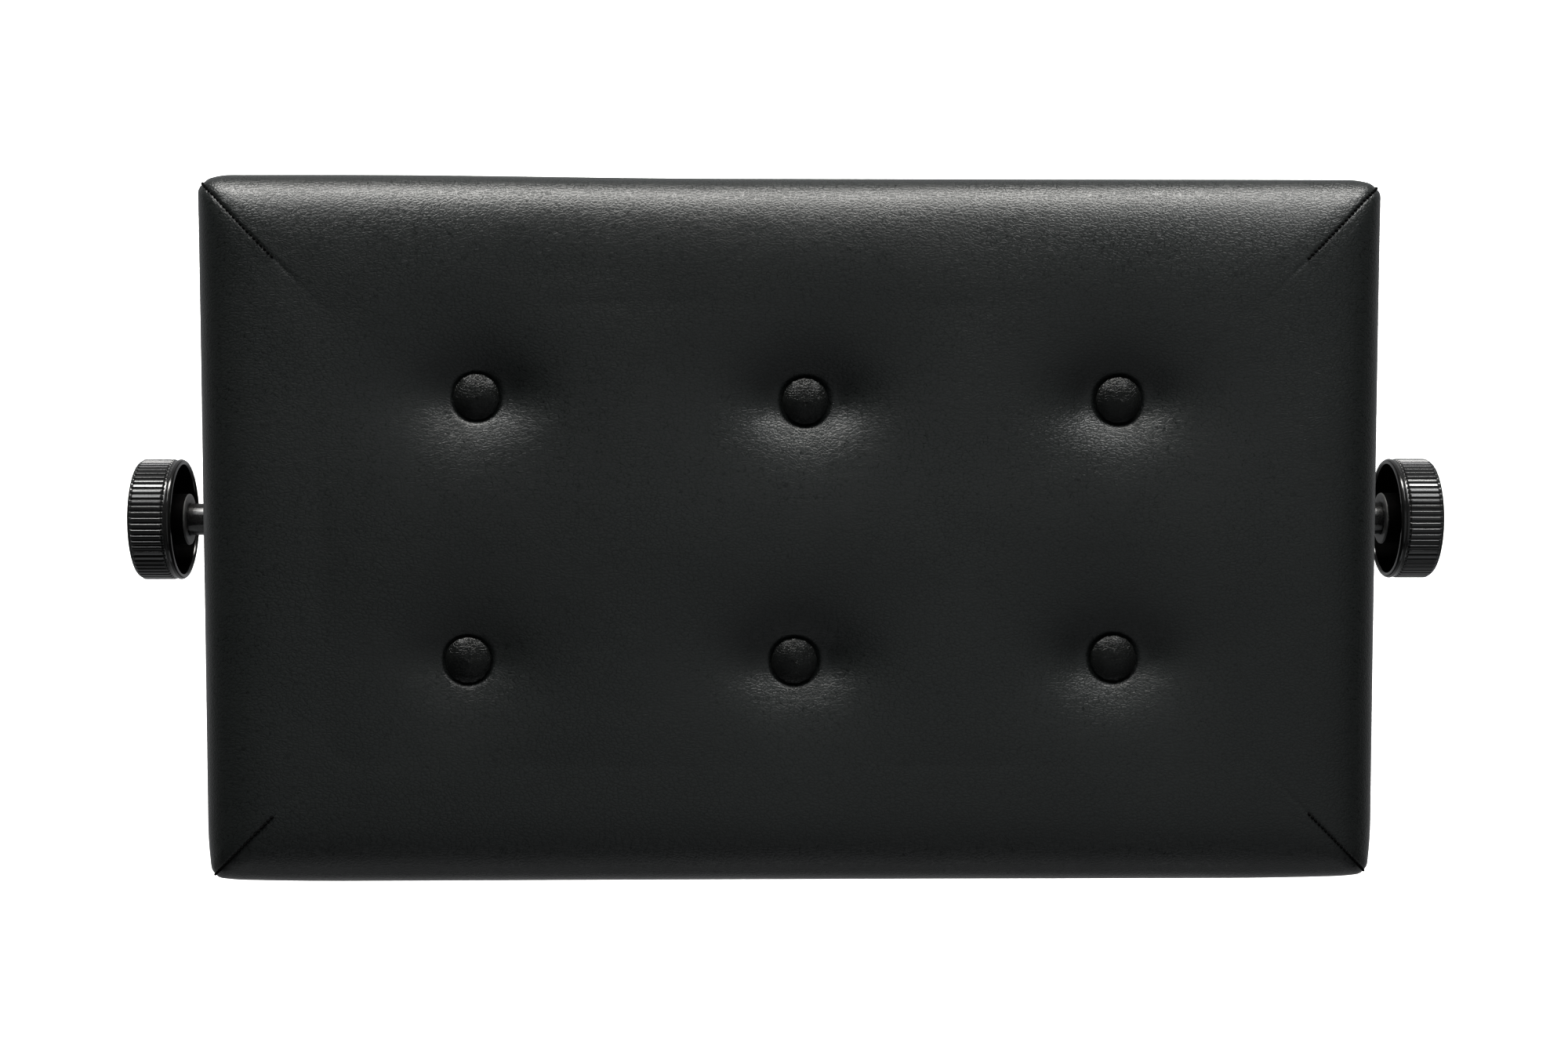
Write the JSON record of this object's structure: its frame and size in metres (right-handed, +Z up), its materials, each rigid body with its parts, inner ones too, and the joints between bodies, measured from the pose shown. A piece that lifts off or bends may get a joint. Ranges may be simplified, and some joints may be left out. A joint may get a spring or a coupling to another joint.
{
  "type": "piano bench",
  "caption": "Height-adjustable piano bench with a button-tufted black leatherette cushion, side knobs turning a screw-driven scissor lift, and a black four-legged wooden base.",
  "frame": {"origin": "on the floor below the middle of the seat, with the lift fully lowered", "axes": "+X to the right along the seat's length, from knob to knob; +Y to the back, towards the piano side away from the sitter's front; +Z up"},
  "size_m": [0.666, 0.33, 0.48],
  "materials": {
    "seat_leather": "semi-matt, pebble grain",
    "button_leather": "satin, fine creased grain",
    "foam": "open-cell upholstery foam",
    "plywood": "raw, sanded",
    "dust_cloth": "matt non-woven cloth",
    "twine": "waxed",
    "zinc_steel": "zinc plated",
    "coated_steel": "satin black powder coat",
    "spindle_steel": "bright, lightly oiled",
    "nylon": "moulded nylon",
    "knob_plastic": "glossy moulded",
    "sleeve_plastic": "matt",
    "grub_steel": "black oxide",
    "lacquered_wood": "black lacquer, satin",
    "glide_plastic": "moulded",
    "bumper_rubber": "matt"
  },
  "bodies": {
    "base": {"apron_front": "lacquered_wood", "apron_back": "lacquered_wood", "apron_left": "lacquered_wood", "apron_right": "lacquered_wood", "leg_front_left": "lacquered_wood", "leg_front_right": "lacquered_wood", "leg_back_left": "lacquered_wood", "leg_back_right": "lacquered_wood", "leg_glides": "glide_plastic", "corner_brackets": "zinc_steel", "bracket_screws": "zinc_steel", "hanger_bolts": "zinc_steel", "hanger_nuts": "zinc_steel", "lower_rail_front": "coated_steel", "lower_rail_back": "coated_steel", "lower_pivot_pins": "zinc_steel", "cross_bar_left": "coated_steel", "cross_bar_right": "coated_steel", "cross_bar_cleats": "zinc_steel", "cross_bar_screws": "zinc_steel", "frame_rivets": "zinc_steel", "spindle_bushes": "nylon", "seat_bumpers": "bumper_rubber"},
    "spindle": {"spindle": "spindle_steel", "knob_left": "knob_plastic", "knob_right": "knob_plastic", "knob_sleeve_left": "sleeve_plastic", "knob_sleeve_right": "sleeve_plastic", "thrust_collars": "zinc_steel", "set_screws": "grub_steel"},
    "outer_arms": {"outer_arm_front": "coated_steel", "outer_arm_back": "coated_steel", "slide_shaft": "zinc_steel", "slide_shaft_rollers": "nylon", "slide_shaft_retainers": "zinc_steel"},
    "inner_arms": {"inner_arm_front": "coated_steel", "inner_arm_back": "coated_steel", "centre_rivets": "zinc_steel", "centre_washers": "nylon"},
    "nut": {"nut_bar": "coated_steel", "nut_bar_rollers": "nylon", "nut_bar_retainers": "zinc_steel"},
    "seat": {"seat_cover": "seat_leather", "seat_foam": "foam", "seat_board": "plywood", "dust_cover": "dust_cloth", "fabric_staples": "zinc_steel", "button_back_left": "button_leather", "button_back_middle": "button_leather", "button_back_right": "button_leather", "button_front_left": "button_leather", "button_front_middle": "button_leather", "button_front_right": "button_leather", "button_twines": "twine", "twine_washers": "zinc_steel", "upper_rail_front": "coated_steel", "upper_rail_back": "coated_steel", "upper_rail_screws": "zinc_steel", "upper_pivot_shaft": "zinc_steel", "upper_pivot_retainers": "zinc_steel"}
  },
  "joints": [
    {"name": "knob_turn", "type": "hinge", "parent": "base", "child": "spindle", "pos_m": [0, 0, 0.35], "axis": [1, 0, 0], "range_deg": [0, 5040]},
    {"name": "outer_arm_hinge", "type": "hinge", "parent": "base", "child": "outer_arms", "pos_m": [-0.17, 0, 0.35], "axis": [0, -1, 0], "range_deg": [0, 17.64]},
    {"name": "scissor_hinge", "type": "hinge", "parent": "outer_arms", "child": "inner_arms", "pos_m": [-0.00118, 0, 0.37], "axis": [0, 1, 0], "range_deg": [0, 35.28]},
    {"name": "seat_hinge", "type": "hinge", "parent": "inner_arms", "child": "seat", "pos_m": [-0.17, 0, 0.39], "axis": [0, -1, 0], "range_deg": [0, 17.64]},
    {"name": "nut_hinge", "type": "hinge", "parent": "inner_arms", "child": "nut", "pos_m": [0.16764, 0, 0.35], "axis": [0, -1, 0], "range_deg": [0, 17.64]}
  ],
  "couplings": [
    {"joint": "knob_turn", "follows": "outer_arm_hinge", "ratio": 285.7},
    {"joint": "scissor_hinge", "follows": "outer_arm_hinge", "ratio": 2},
    {"joint": "seat_hinge", "follows": "outer_arm_hinge", "ratio": 1},
    {"joint": "nut_hinge", "follows": "outer_arm_hinge", "ratio": 1}
  ]
}
